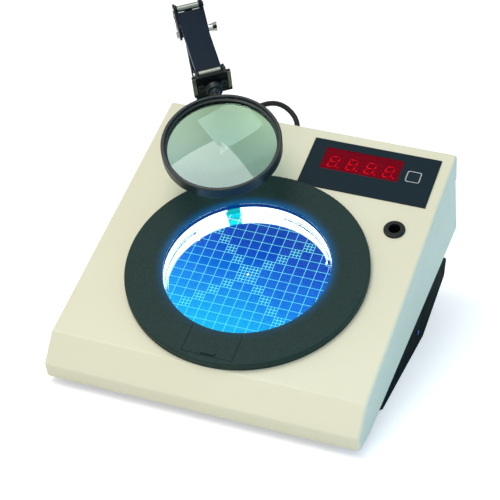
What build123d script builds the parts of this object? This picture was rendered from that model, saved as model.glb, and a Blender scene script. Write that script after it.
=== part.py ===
import os
from math import cos, degrees, pi, radians, sin, sqrt, tan

from build123d import *

# Colony counter: a sloping lit stage for a culture dish, a counter display,
# and a magnifier on a parallel-link arm. Millimetres and degrees.
# The origin is on the bench, straight below the middle of the stage.

# Case
tilt = 25.0
case_width = 297.0
stage_height = 97.0
wall = 2.0
deck_front = 113.0
deck_back = 190.0
chin_reach = 25.0
chin_drop = 18.0
lip_height = 16.0
keel_reach = 17.0
keel_drop = 9.0
heel_depth = 107.0
flange_depth = 31.0
flange_step = 6.0
edge_round = 3.0
fit = 0.3
running = 0.05

# Base under the case
base_inset = 3.0
base_wall = 2.5
base_front = 59.0
base_flat_front = 24.0
base_flat_back = 126.0
base_back = 200.0
base_tail_rise = 33.0
base_tail_top = 52.0
base_tail_shoulder = 167.0
plate_thick = 1.5
foot_radius = 9.0
foot_inset = 26.0

# Stage ring, well and lid
ring_radius = 113.0
ring_height = 7.7
ring_bore = 77.8
ring_edge = 1.2
ring_skin = 2.5
lid_width = 48.0
lid_reach = ring_radius - 6.5
lid_gap = 0.4
catch_width = 14.0
catch_depth = 3.2
catch_height = 1.2

# Lit chamber and the stage that the dish lies on
plate_depth = 5.8
glass_thick = 3.0
guard_thick = 1.6
guard_depth = 12.4
chamber_radius = 94.0
deck_hole = chamber_radius + 3.0
chamber_depth = 38.0
chamber_wall = 1.5
chamber_flange = chamber_radius + 12.0
tube_circle = 87.0
tube_radius = 5.6
tube_depth = 3.6
lamp_gap = 14.0
lamp_gap_angle = 108.0
background_depth = 24.0
background_radius = 93.5
background_thick = 1.5
hoop_width = 2.3
hoop_depth = 3.2
press_travel = 0.8

# Counter panel
panel_left = 9.6
panel_right = 136.8
panel_low = ring_radius + 1.7
panel_high = 177.0
panel_thick = 1.0
window_left = 24.5
window_right = 102.0
window_low = 139.5
window_high = 167.5
window_thick = 0.8
digit_count = 4
digit_pitch = 18.3
digit_first = 35.9
digit_level = 151.0
digit_width = 12.6
digit_height = 19.0
digit_depth = 8.0
board_thick = 1.6
key_x = 115.8
key_y = 149.7
key_size = 14.6
key_round = 2.0
key_travel = 0.6
key_thick = 1.0

# Pen rest
pen_x = 116.4
pen_y = 81.8
pen_flange = 10.2
pen_bore = 5.6
pen_depth = 26.0

# Magnifier arm. Positions are along the arm and square to the deck.
arm_x = 28.3 - case_width / 2
arm_back = 22.4
arm_turn = 33.9
base_pin_height = -30.0
base_pin_ahead = 3.0
lower_length = 95.3
lower_angle = 105.2
upper_length = 89.5
upper_angle = -5.8
elbow_back = 17.0
elbow_rise = 18.0
pin_pair = 8.0
pin_radius = 2.0
roller_radius = 3.2
upper_width = 25.0
lower_width = 19.0
channel_wall = 1.5
web_stand = 0.0
flange_reach = 8.0
web_gap = 5.0
rod_width = 8.0
rod_thick = 4.0
eye_radius = 4.2
cheek_thick = 2.0
post_radius = 7.0
socket_radius = 12.0
socket_length = 28.0
socket_top = -45.0
head_plate_gap = 4.7
head_plate_thick = 3.8
head_plate_drop = 21.0
head_plate_top = -3.0
head_plate_width = 38.0
cup_radius = 8.5
ball_ahead = 16.0
ball_drop = 11.0
wing_reach = 9.5
wing_thick = 1.2

# Magnifier
lens_turn = -8.6
lens_tilt = -5.8
lens_reach = 65.9
frame_radius = 57.3
frame_wall = 3.0
frame_above = 5.0
frame_below = 7.9
frame_lip = 3.0
glass_edge = 5.0
lens_dish = 4.5
ball_radius = 5.5

# Mains lead
cord_diameter = 5.5
gland_x = -26.0
gland_drop = 45.0
gland_length = 26.0
cord_route = [
    (-26.0, 229.3, 154.2),
    (-55.0, 248.5, 168.0),
    (-88.0, 263.0, 153.0),
    (-112.0, 270.0, 120.0),
    (-121.0, 272.0, 80.0),
    (-121.0, 276.0, 44.0),
    (-117.0, 290.0, 20.0),
    (-100.0, 309.0, 9.0),
    (-77.1, 323.98, 8.25),
]
coil_x = -45.0
coil_y = 345.0
coil_radius = 30.0
coil_across = 16.5
coil_high = 16.5

os.makedirs("parts", exist_ok=True)

# Frames. deck lies on the sloping top with its origin at the ring's middle,
# side looks along the case's width, rear faces out of the back.
lean = radians(tilt)
stage_point = (0, 0, stage_height)
deck = Plane(origin=stage_point, x_dir=(1, 0, 0), z_dir=(0, -sin(lean), cos(lean)))
side = Plane(origin=stage_point, x_dir=(0, cos(lean), sin(lean)), z_dir=(1, 0, 0))


def on_deck(x, y, z=0.0):
    """A point given along the deck and square to it, in the part's frame."""
    return deck.from_local_coords(Vector(x, y, z))


def on_side(y, z):
    """The same in the side view, as the height and reach of a bench point."""
    point = on_deck(0, y, z)
    return point.Y, point.Z


def save(piece, name):
    piece.part.label = name
    export_step(piece.part, f"parts/{name}.step")


# Case outline in the side view
chin = (-deck_front - chin_reach, -chin_drop)
lip = (chin[0] - 1.0, chin[1] - lip_height)
keel = (lip[0] + keel_reach, lip[1] - keel_drop)
heel = (deck_back, -heel_depth)
notch_in = (deck_back - flange_step, -flange_depth)
notch_out = (deck_back, -flange_depth)
inside_width = case_width - 2 * wall
under = 3 * heel_depth

# Cover: the beige shell, open below and behind the flange
with BuildPart() as cover:
    with BuildSketch(side):
        with BuildLine():
            Polyline((-deck_front, 0), chin, lip, keel, heel, notch_in, notch_out, (deck_back, 0), close=True)
        make_face()
    extrude(amount=case_width / 2, both=True)
    long_edges = cover.edges().filter_by(Axis.X)
    at_crease = long_edges.sort_by_distance(on_deck(0, -deck_front))[0]
    at_chin = long_edges.sort_by_distance(on_deck(0, *chin))[0]
    at_lip = long_edges.sort_by_distance(on_deck(0, *lip))[0]
    at_back = long_edges.sort_by_distance(on_deck(0, deck_back))[0]
    fillet([at_crease, at_chin, at_back], radius=edge_round)
    fillet([at_lip], radius=edge_round / 2)
    top_face = cover.faces().sort_by_distance(on_deck(0, 0))[0]
    front_face = cover.faces().sort_by_distance(
        on_deck(0, (chin[0] - deck_front) / 2, chin[1] / 2))[0]
    side_edges = (top_face.edges() + front_face.edges()).filter_by(Axis.X, reverse=True)
    fillet([e for e in side_edges if e.length > 2 * edge_round], radius=edge_round)
    with BuildSketch(side):
        with BuildLine():
            foot_y = lip[0] - (under + lip[1]) / lip_height
            Polyline((-deck_front, 0), chin, lip, (foot_y, -under), (deck_back, -under), (deck_back, 0), close=True)
        make_face()
        offset(amount=-wall, kind=Kind.INTERSECTION)
    extrude(amount=inside_width / 2, both=True, mode=Mode.SUBTRACT)
    with BuildSketch(side):
        with Locations((deck_back, -flange_depth - under / 2)):
            Rectangle(4 * flange_step, under)
    extrude(amount=inside_width / 2, both=True, mode=Mode.SUBTRACT)
    with BuildSketch(deck.offset(-2 * wall)):
        Circle(deck_hole)
        with Locations(((window_left + window_right) / 2, (window_low + window_high) / 2)):
            Rectangle(window_right - window_left + 4, window_high - window_low + 4)
        with Locations((key_x, key_y)):
            Rectangle(key_size + 2, key_size + 2)
        with Locations((pen_x, pen_y)):
            Circle(pen_bore + 2.4)
    extrude(amount=4 * wall, mode=Mode.SUBTRACT)
save(cover, "cover")

# Bottom plate: closes the cover below, along its sloping lower edge
plate_lift = 2.0
plate_inside = inside_width - 2 * fit
keel_slope = (heel[1] - keel[1]) / (heel[0] - keel[0])
plate_front = (lip[0] + wall + 2 * fit, lip[1] + plate_lift)
plate_knee = (keel[0], keel[1] + plate_lift)
plate_end_y = deck_back - flange_step - wall
plate_end = (plate_end_y, plate_knee[1] + keel_slope * (plate_end_y - keel[0]))
knee_bench = on_side(*plate_knee)
end_bench = on_side(*plate_end)


def under_plate(y):
    """Height of the bottom plate's underside over the bench at a reach."""
    share = (y - knee_bench[0]) / (end_bench[0] - knee_bench[0])
    return knee_bench[1] + share * (end_bench[1] - knee_bench[1])


with BuildPart() as bottom_plate:
    with BuildSketch(side):
        with BuildLine():
            low = [plate_front, plate_knee, plate_end]
            high = [(y, z + plate_thick) for y, z in reversed(low)]
            Polyline(*low, *high, close=True)
        make_face()
    extrude(amount=plate_inside / 2, both=True)
    with BuildSketch(Plane.XY):
        with Locations((0, (base_flat_back - base_flat_front) / 2)):
            Rectangle(case_width * 0.6, (base_flat_back + base_flat_front) * 0.8)
    extrude(amount=stage_height, mode=Mode.SUBTRACT)
save(bottom_plate, "bottom_plate")

# Base box: the black tray below, flat on the bench and cut up at both ends
base_width = case_width - 2 * base_inset
front_top = under_plate(-base_front) - fit / 2
shoulder_top = under_plate(base_tail_shoulder) - fit / 2
front_slant = (base_front - base_flat_front, front_top)
floor_line = [(-base_flat_front, 0), (base_flat_back, 0), (base_back, base_tail_rise), (base_back, base_tail_top)]
with BuildPart() as base_box:
    with BuildSketch(Plane.YZ):
        with BuildLine():
            Polyline((-base_front, front_top), *floor_line, (base_tail_shoulder, shoulder_top), close=True)
        make_face()
    extrude(amount=base_width / 2, both=True)
    box_long = base_box.edges().filter_by(Axis.X)
    box_ends = [(-base_flat_front, 0), (base_flat_back, 0), (base_back, base_tail_rise), (base_back, base_tail_top)]
    fillet([box_long.sort_by_distance((0, y, z))[0] for y, z in box_ends], radius=edge_round)
    with BuildSketch(Plane.YZ):
        with BuildLine():
            beyond = (-base_front - front_slant[0], front_top + front_slant[1])
            over = (base_tail_shoulder, 2 * shoulder_top)
            Polyline(beyond, *floor_line, (base_tail_shoulder, shoulder_top), over, close=True)
        make_face()
        offset(amount=-base_wall, kind=Kind.INTERSECTION)
    extrude(amount=base_width / 2 - base_wall, both=True, mode=Mode.SUBTRACT)
save(base_box, "base_box")

# Two rubber feet under the front corners
foot_y = knee_bench[0] + foot_radius * 0.6
with BuildPart() as front_feet:
    with BuildSketch(Plane.XY):
        with Locations(*[(sx * (case_width / 2 - foot_inset), foot_y) for sx in (-1, 1)]):
            Circle(foot_radius)
    extrude(amount=knee_bench[1] - fit / 2)
    chamfer(front_feet.faces().sort_by(Axis.Z)[0].edges(), length=1.0)
save(front_feet, "front_feet")

# Screws in the base box's sides
screw_y = 94.5
screw_z = 19.9
with BuildPart() as base_screws:
    for sx in (-1, 1):
        with BuildSketch(Plane(origin=(sx * base_width / 2, screw_y, screw_z), z_dir=(sx, 0, 0))):
            Circle(2.6)
        extrude(amount=1.2)
save(base_screws, "base_screws")

# Rear panel with the lead's gland, the switch, the fuse and cooling slots
panel_depth_y = deck_back - flange_step - wall - plate_thick
rear = Plane(origin=on_deck(0, panel_depth_y), x_dir=(-1, 0, 0), z_dir=side.x_dir)
rear_top = wall + fit
rear_low = -(plate_end[1] + plate_thick - keel_slope * plate_thick) - fit
switch_x = 62.0
switch_drop = 58.0
switch_width = 15.0
switch_height = 21.0
fuse_x = 96.0
fuse_radius = 6.0
gland_radius = 6.0
slot_count = 9
slot_pitch = 8.0
slot_middle = 18.0
with BuildPart() as rear_panel:
    with BuildSketch(rear):
        with Locations((0, -(rear_top + rear_low) / 2)):
            Rectangle(plate_inside, rear_low - rear_top)
        with Locations((-switch_x, -switch_drop)):
            Rectangle(switch_width + 2 * fit, switch_height + 2 * fit, mode=Mode.SUBTRACT)
        with Locations((-fuse_x, -switch_drop)):
            Circle(fuse_radius + fit, mode=Mode.SUBTRACT)
        with Locations((-gland_x, -gland_drop)):
            Circle(gland_radius + fit, mode=Mode.SUBTRACT)
        with Locations((-slot_middle, -switch_drop - 18)):
            with GridLocations(slot_pitch, 1, slot_count, 1):
                SlotOverall(20, 3.0, rotation=90, mode=Mode.SUBTRACT)
    extrude(amount=plate_thick)
save(rear_panel, "rear_panel")
rear_out = rear.offset(plate_thick)

# Power switch: a frame clipped in the panel and the rocker in it
rocker_swing = 8.0
rocker_pivot = 1.0
pivot_depth = 1.2
switch_plane = Plane(origin=rear_out.from_local_coords(Vector(-switch_x, -switch_drop, 0)),
                     x_dir=rear.x_dir, z_dir=rear.z_dir)
rocker_side = Plane(origin=switch_plane.origin, x_dir=switch_plane.z_dir, z_dir=rear.x_dir)
with BuildPart() as switch_frame:
    with BuildSketch(switch_plane):
        Rectangle(switch_width + 4, switch_height + 4)
        Rectangle(switch_width - 3, switch_height - 3, mode=Mode.SUBTRACT)
    extrude(amount=2.0)
    with BuildSketch(switch_plane):
        Rectangle(switch_width, switch_height)
        Rectangle(switch_width - 3, switch_height - 3, mode=Mode.SUBTRACT)
    extrude(amount=-14.0)
    with BuildSketch(switch_plane.offset(-14.0)):
        Rectangle(switch_width, switch_height)
    extrude(amount=-1.5)
    with BuildSketch(rocker_side):
        with Locations((-pivot_depth, 0)):
            Circle(rocker_pivot + running)
    extrude(amount=switch_width / 2 - fit, both=True, mode=Mode.SUBTRACT)
save(switch_frame, "switch_frame")

rocker_half = (switch_height - 3) / 2 - fit
with BuildPart() as power_rocker:
    with BuildSketch(rocker_side):
        with BuildLine():
            rise = rocker_half * tan(radians(rocker_swing))
            Polyline((-5.0, -rocker_half + 2), (rise + 1.0, -rocker_half + 1), (1.0, 0),
                     (rise + 1.0, rocker_half - 1), (-5.0, rocker_half - 2), close=True)
        make_face()
    extrude(amount=(switch_width - 3) / 2 - fit, both=True)
    fillet(power_rocker.edges().filter_by(Axis.X), radius=0.4)
    with BuildSketch(rocker_side):
        with Locations((-pivot_depth, 0)):
            Circle(rocker_pivot)
    extrude(amount=switch_width / 2 - 2 * fit, both=True)
save(power_rocker, "power_rocker")

# Stage ring: a hollow black ring on the deck, open to the well inside
lid_plane = deck.offset(ring_height)
ledge_reach = 3.0
with BuildPart() as stage_ring:
    with BuildSketch(deck):
        Circle(ring_radius)
        Circle(ring_bore, mode=Mode.SUBTRACT)
    extrude(amount=ring_height)
    outer_rim = stage_ring.edges().filter_by(GeomType.CIRCLE).group_by(SortBy.RADIUS)[-1]
    fillet([outer_rim.sort_by_distance(lid_plane.from_local_coords(Vector(ring_radius, 0, 0)))[0]], radius=ring_edge)
    with BuildSketch(deck):
        Circle(ring_radius - ring_skin)
        Circle(ring_bore - 1, mode=Mode.SUBTRACT)
    extrude(amount=ring_height - ring_skin, mode=Mode.SUBTRACT)
    with BuildSketch(lid_plane):
        with Locations((0, -lid_reach / 2)):
            Rectangle(lid_width, lid_reach)
    extrude(amount=-ring_skin, mode=Mode.SUBTRACT)
    with BuildSketch(deck.offset(ring_height - ring_skin)):
        with Locations((0, -lid_reach / 2)):
            Rectangle(lid_width + 2 * ledge_reach, lid_reach + 2 * ledge_reach)
            Rectangle(lid_width - 2 * ledge_reach, lid_reach - 2 * ledge_reach, mode=Mode.SUBTRACT)
        Circle(ring_bore + guard_thick + fit, mode=Mode.SUBTRACT)
        Circle(ring_radius - ring_skin / 2, mode=Mode.INTERSECT)
    extrude(amount=-ring_skin / 2)
save(stage_ring, "stage_ring")

# Lid in the ring's front, with a raised bar for a finger
with BuildPart() as ring_lid:
    with BuildSketch(lid_plane):
        with Locations((0, -(lid_reach - lid_gap) / 2)):
            Rectangle(lid_width - 2 * lid_gap, lid_reach - lid_gap)
        Circle(ring_bore, mode=Mode.SUBTRACT)
    extrude(amount=-(ring_skin - fit / 3))
    with BuildSketch(lid_plane):
        with Locations((0, -lid_reach + lid_gap + catch_depth / 2 + 1.0)):
            RectangleRounded(catch_width, catch_depth, 0.8)
    extrude(amount=catch_height)
save(ring_lid, "ring_lid")

# Clear guard wall of the well, hung under the ring's top
guard_top = ring_height - ring_skin - fit / 3
with BuildPart() as guard_wall:
    with BuildSketch(deck.offset(guard_top)):
        Circle(ring_bore + guard_thick)
        Circle(ring_bore, mode=Mode.SUBTRACT)
    extrude(amount=-(guard_top + guard_depth))
save(guard_wall, "guard_wall")

# Grid plate that the dish lies on, and the hoop under its rim
plate_radius = ring_bore - 2 * fit
with BuildPart() as grid_plate:
    with BuildSketch(deck.offset(-plate_depth)):
        Circle(plate_radius)
    extrude(amount=-glass_thick)
    chamfer(grid_plate.edges().filter_by(GeomType.CIRCLE), length=0.4)
save(grid_plate, "grid_plate")

hoop_top = -plate_depth - glass_thick
with BuildPart() as plate_hoop:
    with BuildSketch(deck.offset(hoop_top)):
        Circle(plate_radius - 0.5)
        Circle(plate_radius - 0.5 - hoop_width, mode=Mode.SUBTRACT)
    extrude(amount=-hoop_depth)
save(plate_hoop, "plate_hoop")

# Light chamber: a white pan that hangs in the deck's hole by its flange
pan_profile = [
    (chamber_flange, 0), (chamber_flange, chamber_wall), (chamber_radius, chamber_wall),
    (chamber_radius, -chamber_depth), (0, -chamber_depth), (0, -chamber_depth - chamber_wall),
    (chamber_radius + chamber_wall, -chamber_depth - chamber_wall), (chamber_radius + chamber_wall, 0),
]
well_axis = Axis(deck.origin, deck.z_dir)
cut = Plane(origin=deck.origin, x_dir=deck.x_dir, z_dir=-side.x_dir)
with BuildPart() as light_pan:
    with BuildSketch(cut):
        with BuildLine():
            Polyline(*pan_profile, close=True)
        make_face()
    revolve(axis=well_axis)
save(light_pan, "light_pan")

# Dark blue background: a shallow upturned tray on the pan's floor
with BuildPart() as background:
    with BuildSketch(deck.offset(-background_depth)):
        Circle(background_radius)
    extrude(amount=-(chamber_depth - background_depth))
    with BuildSketch(deck.offset(-background_depth - background_thick)):
        Circle(background_radius - background_thick)
    extrude(amount=-chamber_depth, mode=Mode.SUBTRACT)
save(background, "background")

# Touch switches: three posts on the background that the hoop presses
post_radius_out = 2.6
post_ring = plate_radius - 0.5 - hoop_width / 2
post_top = hoop_top - hoop_depth - press_travel - fit
with BuildPart() as touch_switches:
    with BuildSketch(deck.offset(-background_depth)):
        with PolarLocations(post_ring, 3, start_angle=30):
            Rectangle(9, 6)
    extrude(amount=(background_depth + post_top) / 2)
    with BuildSketch(deck.offset(-background_depth)):
        with PolarLocations(post_ring, 3, start_angle=30):
            Circle(post_radius_out)
    extrude(amount=background_depth + post_top)
save(touch_switches, "touch_switches")

# Ring lamp: one bent tube, its base across the gap, and three clips
gap_half = degrees(lamp_gap / 2 / tube_circle)
tube_start = lamp_gap_angle + gap_half
tube_plane = deck.offset(-tube_depth)
with BuildPart() as lamp_tube:
    with BuildLine(tube_plane):
        tube_line = CenterArc((0, 0), tube_circle, tube_start, 360 - 2 * gap_half)
    with BuildSketch(Plane(origin=tube_line @ 0, z_dir=tube_line % 0)):
        Circle(tube_radius)
    sweep()
save(lamp_tube, "lamp_tube")

with BuildPart() as lamp_base:
    with BuildLine(tube_plane):
        base_line = CenterArc((0, 0), tube_circle, lamp_gap_angle - gap_half, 2 * gap_half)
    with BuildSketch(Plane(origin=base_line @ 0, z_dir=base_line % 0)):
        Circle(tube_radius - 0.6)
    sweep()
save(lamp_base, "lamp_base")

clip_span = 8.0
clip_wall = 1.2
with BuildPart() as lamp_clips:
    for clip_angle in (lamp_gap_angle - 90, lamp_gap_angle + 90, lamp_gap_angle + 180):
        turn = radians(clip_angle)
        out = (deck.x_dir * cos(turn) + side.x_dir * sin(turn))
        across = side.x_dir * cos(turn) - deck.x_dir * sin(turn)
        at = tube_plane.origin + out * tube_circle
        with BuildSketch(Plane(origin=at, x_dir=out, z_dir=-across)):
            Circle(tube_radius + fit / 2 + clip_wall)
            with Locations(((chamber_radius - tube_circle) / 2, -tube_radius - clip_wall)):
                Rectangle(chamber_radius - tube_circle, 2 * clip_wall)
            Circle(tube_radius + fit / 2, mode=Mode.SUBTRACT)
            with Locations((-tube_radius, tube_radius)):
                Rectangle(2 * tube_radius, 2.4 * tube_radius, mode=Mode.SUBTRACT)
            with Locations((chamber_radius - fit / 2 - tube_circle + 5, 0)):
                Rectangle(10, 6 * tube_radius, mode=Mode.SUBTRACT)
        extrude(amount=clip_span / 2, both=True)
save(lamp_clips, "lamp_clips")

# Counter panel on the deck, its red window and the display behind it
panel_mid = ((panel_left + panel_right) / 2, (panel_low + panel_high) / 2)
window_mid = ((window_left + window_right) / 2, (window_low + window_high) / 2)
window_size = (window_right - window_left, window_high - window_low)
with BuildPart() as counter_panel:
    with BuildSketch(deck):
        with Locations(panel_mid):
            Rectangle(panel_right - panel_left, panel_high - panel_low)
        with Locations(window_mid):
            Rectangle(*window_size, mode=Mode.SUBTRACT)
        with Locations((key_x, key_y)):
            RectangleRounded(key_size + fit, key_size + fit, key_round, mode=Mode.SUBTRACT)
    extrude(amount=panel_thick)
save(counter_panel, "counter_panel")

with BuildPart() as display_window:
    with BuildSketch(deck):
        with Locations(window_mid):
            Rectangle(*window_size)
    extrude(amount=window_thick)
save(display_window, "display_window")

digit_top = -fit
digits_x = [digit_first + k * digit_pitch for k in range(digit_count)]
with BuildPart() as display_digits:
    with BuildSketch(deck.offset(digit_top)):
        with Locations(*[(x, digit_level) for x in digits_x]):
            Rectangle(digit_width, digit_height)
    extrude(amount=-digit_depth)
save(display_digits, "display_digits")

board_top = digit_top - digit_depth
board_left = window_left - 6
board_right = key_x + key_size
board_mid = ((board_left + board_right) / 2, window_mid[1])
board_size = (board_right - board_left, window_size[1] + 18)
with BuildPart() as display_board:
    with BuildSketch(deck.offset(board_top)):
        with Locations(board_mid):
            Rectangle(*board_size)
    extrude(amount=-board_thick)
save(display_board, "display_board")

with BuildPart() as board_pillars:
    with BuildSketch(deck.offset(board_top)):
        with Locations(board_mid):
            with GridLocations(board_size[0] - 7, board_size[1] - 7, 2, 2):
                Circle(3)
    extrude(amount=-board_top - wall)
save(board_pillars, "board_pillars")

# Reset key in the panel, over a small switch on the board
key_foot = -2.2
with BuildPart() as reset_key:
    with BuildSketch(deck.offset(fit / 3)):
        with Locations((key_x, key_y)):
            RectangleRounded(key_size - fit, key_size - fit, key_round)
    extrude(amount=key_thick)
    with BuildSketch(deck.offset(fit / 3)):
        with Locations((key_x, key_y)):
            Circle(2.5)
    extrude(amount=key_foot)
save(reset_key, "reset_key")

with BuildPart() as reset_switch:
    with BuildSketch(deck.offset(board_top)):
        with Locations((key_x, key_y)):
            Rectangle(6, 6)
    extrude(amount=3.5)
    with BuildSketch(deck.offset(board_top)):
        with Locations((key_x, key_y)):
            Circle(1.7)
    extrude(amount=-board_top + key_foot + fit / 3 - key_travel - fit)
save(reset_switch, "reset_switch")

# Pen rest: a flanged well in the deck
with BuildPart() as pen_rest:
    with BuildSketch(deck):
        with Locations((pen_x, pen_y)):
            Circle(pen_flange)
    extrude(amount=2.4)
    with BuildSketch(deck):
        with Locations((pen_x, pen_y)):
            Circle(pen_bore + 2.1)
    extrude(amount=-pen_depth)
    rims = pen_rest.edges().filter_by(GeomType.CIRCLE).group_by(SortBy.RADIUS)[-1]
    fillet([rims.sort_by_distance(on_deck(pen_x + pen_flange, pen_y, 2.4))[0]], radius=1.4)
    with BuildSketch(deck.offset(2.4)):
        with Locations((pen_x, pen_y)):
            Circle(pen_bore)
    extrude(amount=-pen_depth, mode=Mode.SUBTRACT)
save(pen_rest, "pen_rest")

# Ballast, starter and counter board in the base box
box_floor = Plane.XY.offset(base_wall)
ballast_at = (-0.24 * base_width, 60.0)
ballast_size = (0.38 * base_width, 42.0)
ballast_high = 34.0
ballast_ears = (ballast_size[0] + 20.0, 30.0)
with BuildPart() as ballast:
    with BuildSketch(box_floor):
        with Locations(ballast_at):
            Rectangle(*ballast_size)
    extrude(amount=ballast_high)
    fillet(ballast.edges().filter_by(Axis.Z), radius=3)
    with BuildSketch(box_floor):
        with Locations(ballast_at):
            Rectangle(*ballast_ears)
    extrude(amount=2)
save(ballast, "ballast")

starter_at = (-0.38 * base_width, 10.0)
starter_radius = 10.0
with BuildPart() as lamp_starter:
    with BuildSketch(box_floor):
        with Locations(starter_at):
            Circle(starter_radius + 2)
    extrude(amount=8)
    with BuildSketch(box_floor):
        with Locations(starter_at):
            Circle(starter_radius)
    extrude(amount=26)
save(lamp_starter, "lamp_starter")

driver_at = (0.24 * base_width, 55.0)
driver_size = (0.38 * base_width, 80.0)
driver_stand = 6.0
part_high = 9.0
with BuildPart() as counter_board:
    with BuildSketch(box_floor.offset(driver_stand)):
        with Locations(driver_at):
            Rectangle(*driver_size)
    extrude(amount=board_thick)
    with BuildSketch(box_floor):
        with Locations(driver_at):
            with GridLocations(driver_size[0] - 12, driver_size[1] - 12, 2, 2):
                Circle(3)
    extrude(amount=driver_stand)
    with BuildSketch(box_floor.offset(driver_stand + board_thick)):
        with Locations((driver_at[0] - 25, driver_at[1] + 5)):
            Rectangle(36, 14)
        with Locations((driver_at[0] - 10, driver_at[1] - 20)):
            Rectangle(22, 8)
        with Locations((driver_at[0] + 35, driver_at[1] + 15), (driver_at[0] + 35, driver_at[1] - 5)):
            Circle(8)
    extrude(amount=part_high)
save(counter_board, "counter_board")

# Fuse holder and the gland of the mains lead in the rear panel
with BuildPart() as fuse_holder:
    with BuildSketch(rear_out):
        with Locations((-fuse_x, -switch_drop)):
            Circle(fuse_radius + 2)
    extrude(amount=2.5)
    with BuildSketch(rear_out):
        with Locations((-fuse_x, -switch_drop)):
            Circle(fuse_radius)
    extrude(amount=8.0)
    with BuildSketch(rear_out):
        with Locations((-fuse_x, -switch_drop)):
            Circle(fuse_radius)
    extrude(amount=-22.0)
    with BuildSketch(rear_out.offset(8.0)):
        with Locations((-fuse_x, -switch_drop)):
            Rectangle(8, 1.4)
    extrude(amount=-1.5, mode=Mode.SUBTRACT)
save(fuse_holder, "fuse_holder")

gland_plane = Plane(origin=rear_out.from_local_coords(Vector(-gland_x, -gland_drop, 0)),
                    x_dir=rear.x_dir, z_dir=rear.z_dir)
cord_radius = cord_diameter / 2
with BuildPart() as cord_gland:
    with BuildSketch(gland_plane.offset(-10)):
        Circle(gland_radius)
    extrude(amount=10)
    with BuildSketch(gland_plane):
        Circle(gland_radius + 1.5)
    extrude(amount=2.5)
    with BuildSketch(gland_plane.offset(2.5)):
        Circle(gland_radius - 1)
    with BuildSketch(gland_plane.offset(gland_length)):
        Circle(cord_radius + 1)
    loft()
    with BuildSketch(gland_plane.offset(-10)):
        Circle(cord_radius + running)
    extrude(amount=gland_length + 10, mode=Mode.SUBTRACT)
save(cord_gland, "cord_gland")

# Arm frame: along the arm, square to the deck, and across it
swing = radians(arm_turn)
ahead = deck.x_dir * sin(swing) - side.x_dir * cos(swing)
across_arm = ahead.cross(deck.z_dir)
arm = Plane(origin=on_deck(arm_x, deck_back + arm_back), x_dir=ahead, z_dir=across_arm)


def at_arm(s, e, side_step=0.0):
    """A point along the arm, over the deck and across it, in the part's frame."""
    return arm.from_local_coords(Vector(s, e, side_step))


def step(start, reach, turn):
    """The point at a reach and angle from a start, in the arm's side view."""
    return (start[0] + reach * cos(radians(turn)), start[1] + reach * sin(radians(turn)))


base_pin = (base_pin_ahead, base_pin_height)
elbow_pin = step(base_pin, lower_length, lower_angle)
base_pair = step(base_pin, pin_pair, lower_angle + 90)
elbow_pair = step(elbow_pin, pin_pair, lower_angle + 90)
top_pin = (elbow_pin[0] - elbow_back, elbow_pin[1] + elbow_rise)
head_pin = step(top_pin, upper_length, upper_angle)
top_pair = step(top_pin, pin_pair, upper_angle - 90)
head_pair = step(head_pin, pin_pair, upper_angle - 90)
ball = (head_pin[0] + ball_ahead, head_pin[1] - ball_drop)
hole_radius = pin_radius + running
lower_half = lower_width / 2
upper_half = upper_width / 2
base_half = lower_half + fit
cheek_half = upper_half + fit
cheek_out = cheek_half + cheek_thick
base_cheek = 2.5

# Socket for the arm's post, screwed on the rear panel
post_plane = Plane(origin=at_arm(0, socket_top), x_dir=deck.x_dir, z_dir=deck.z_dir)
bracket_gap = deck_back + arm_back - (panel_depth_y + plate_thick)
bracket_width = 44.0
bracket_thick = 3.0
with BuildPart() as arm_socket:
    with BuildSketch(post_plane):
        Circle(socket_radius)
        with Locations((0, -bracket_gap / 2)):
            Rectangle(1.4 * socket_radius, bracket_gap)
    extrude(amount=-socket_length)
    with BuildSketch(rear_out):
        with Locations((-arm_x, socket_top - socket_length / 2)):
            RectangleRounded(bracket_width, socket_length, 3)
            with GridLocations(bracket_width - 9, socket_length - 10, 2, 2):
                Circle(2 + running, mode=Mode.SUBTRACT)
    extrude(amount=bracket_thick)
    with BuildSketch(post_plane):
        Circle(post_radius + running)
    extrude(amount=-socket_length, mode=Mode.SUBTRACT)
    chamfer(arm_socket.edges().filter_by(GeomType.CIRCLE).group_by(SortBy.RADIUS)[-1], length=1.0)
save(arm_socket, "arm_socket")

with BuildPart() as socket_screws:
    with BuildSketch(rear_out.offset(bracket_thick)):
        with Locations((-arm_x, socket_top - socket_length / 2)):
            with GridLocations(bracket_width - 9, socket_length - 10, 2, 2):
                Circle(3.4)
    extrude(amount=1.8)
    with BuildSketch(rear_out.offset(bracket_thick)):
        with Locations((-arm_x, socket_top - socket_length / 2)):
            with GridLocations(bracket_width - 9, socket_length - 10, 2, 2):
                Circle(2)
    extrude(amount=-bracket_thick)
    with BuildSketch(rear_out.offset(bracket_thick + 1.8)):
        with Locations((-arm_x, socket_top - socket_length / 2)):
            with GridLocations(bracket_width - 9, socket_length - 10, 2, 2):
                RegularPolygon(1.6, 6)
    extrude(amount=-1.2, mode=Mode.SUBTRACT)
save(socket_screws, "socket_screws")

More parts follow.
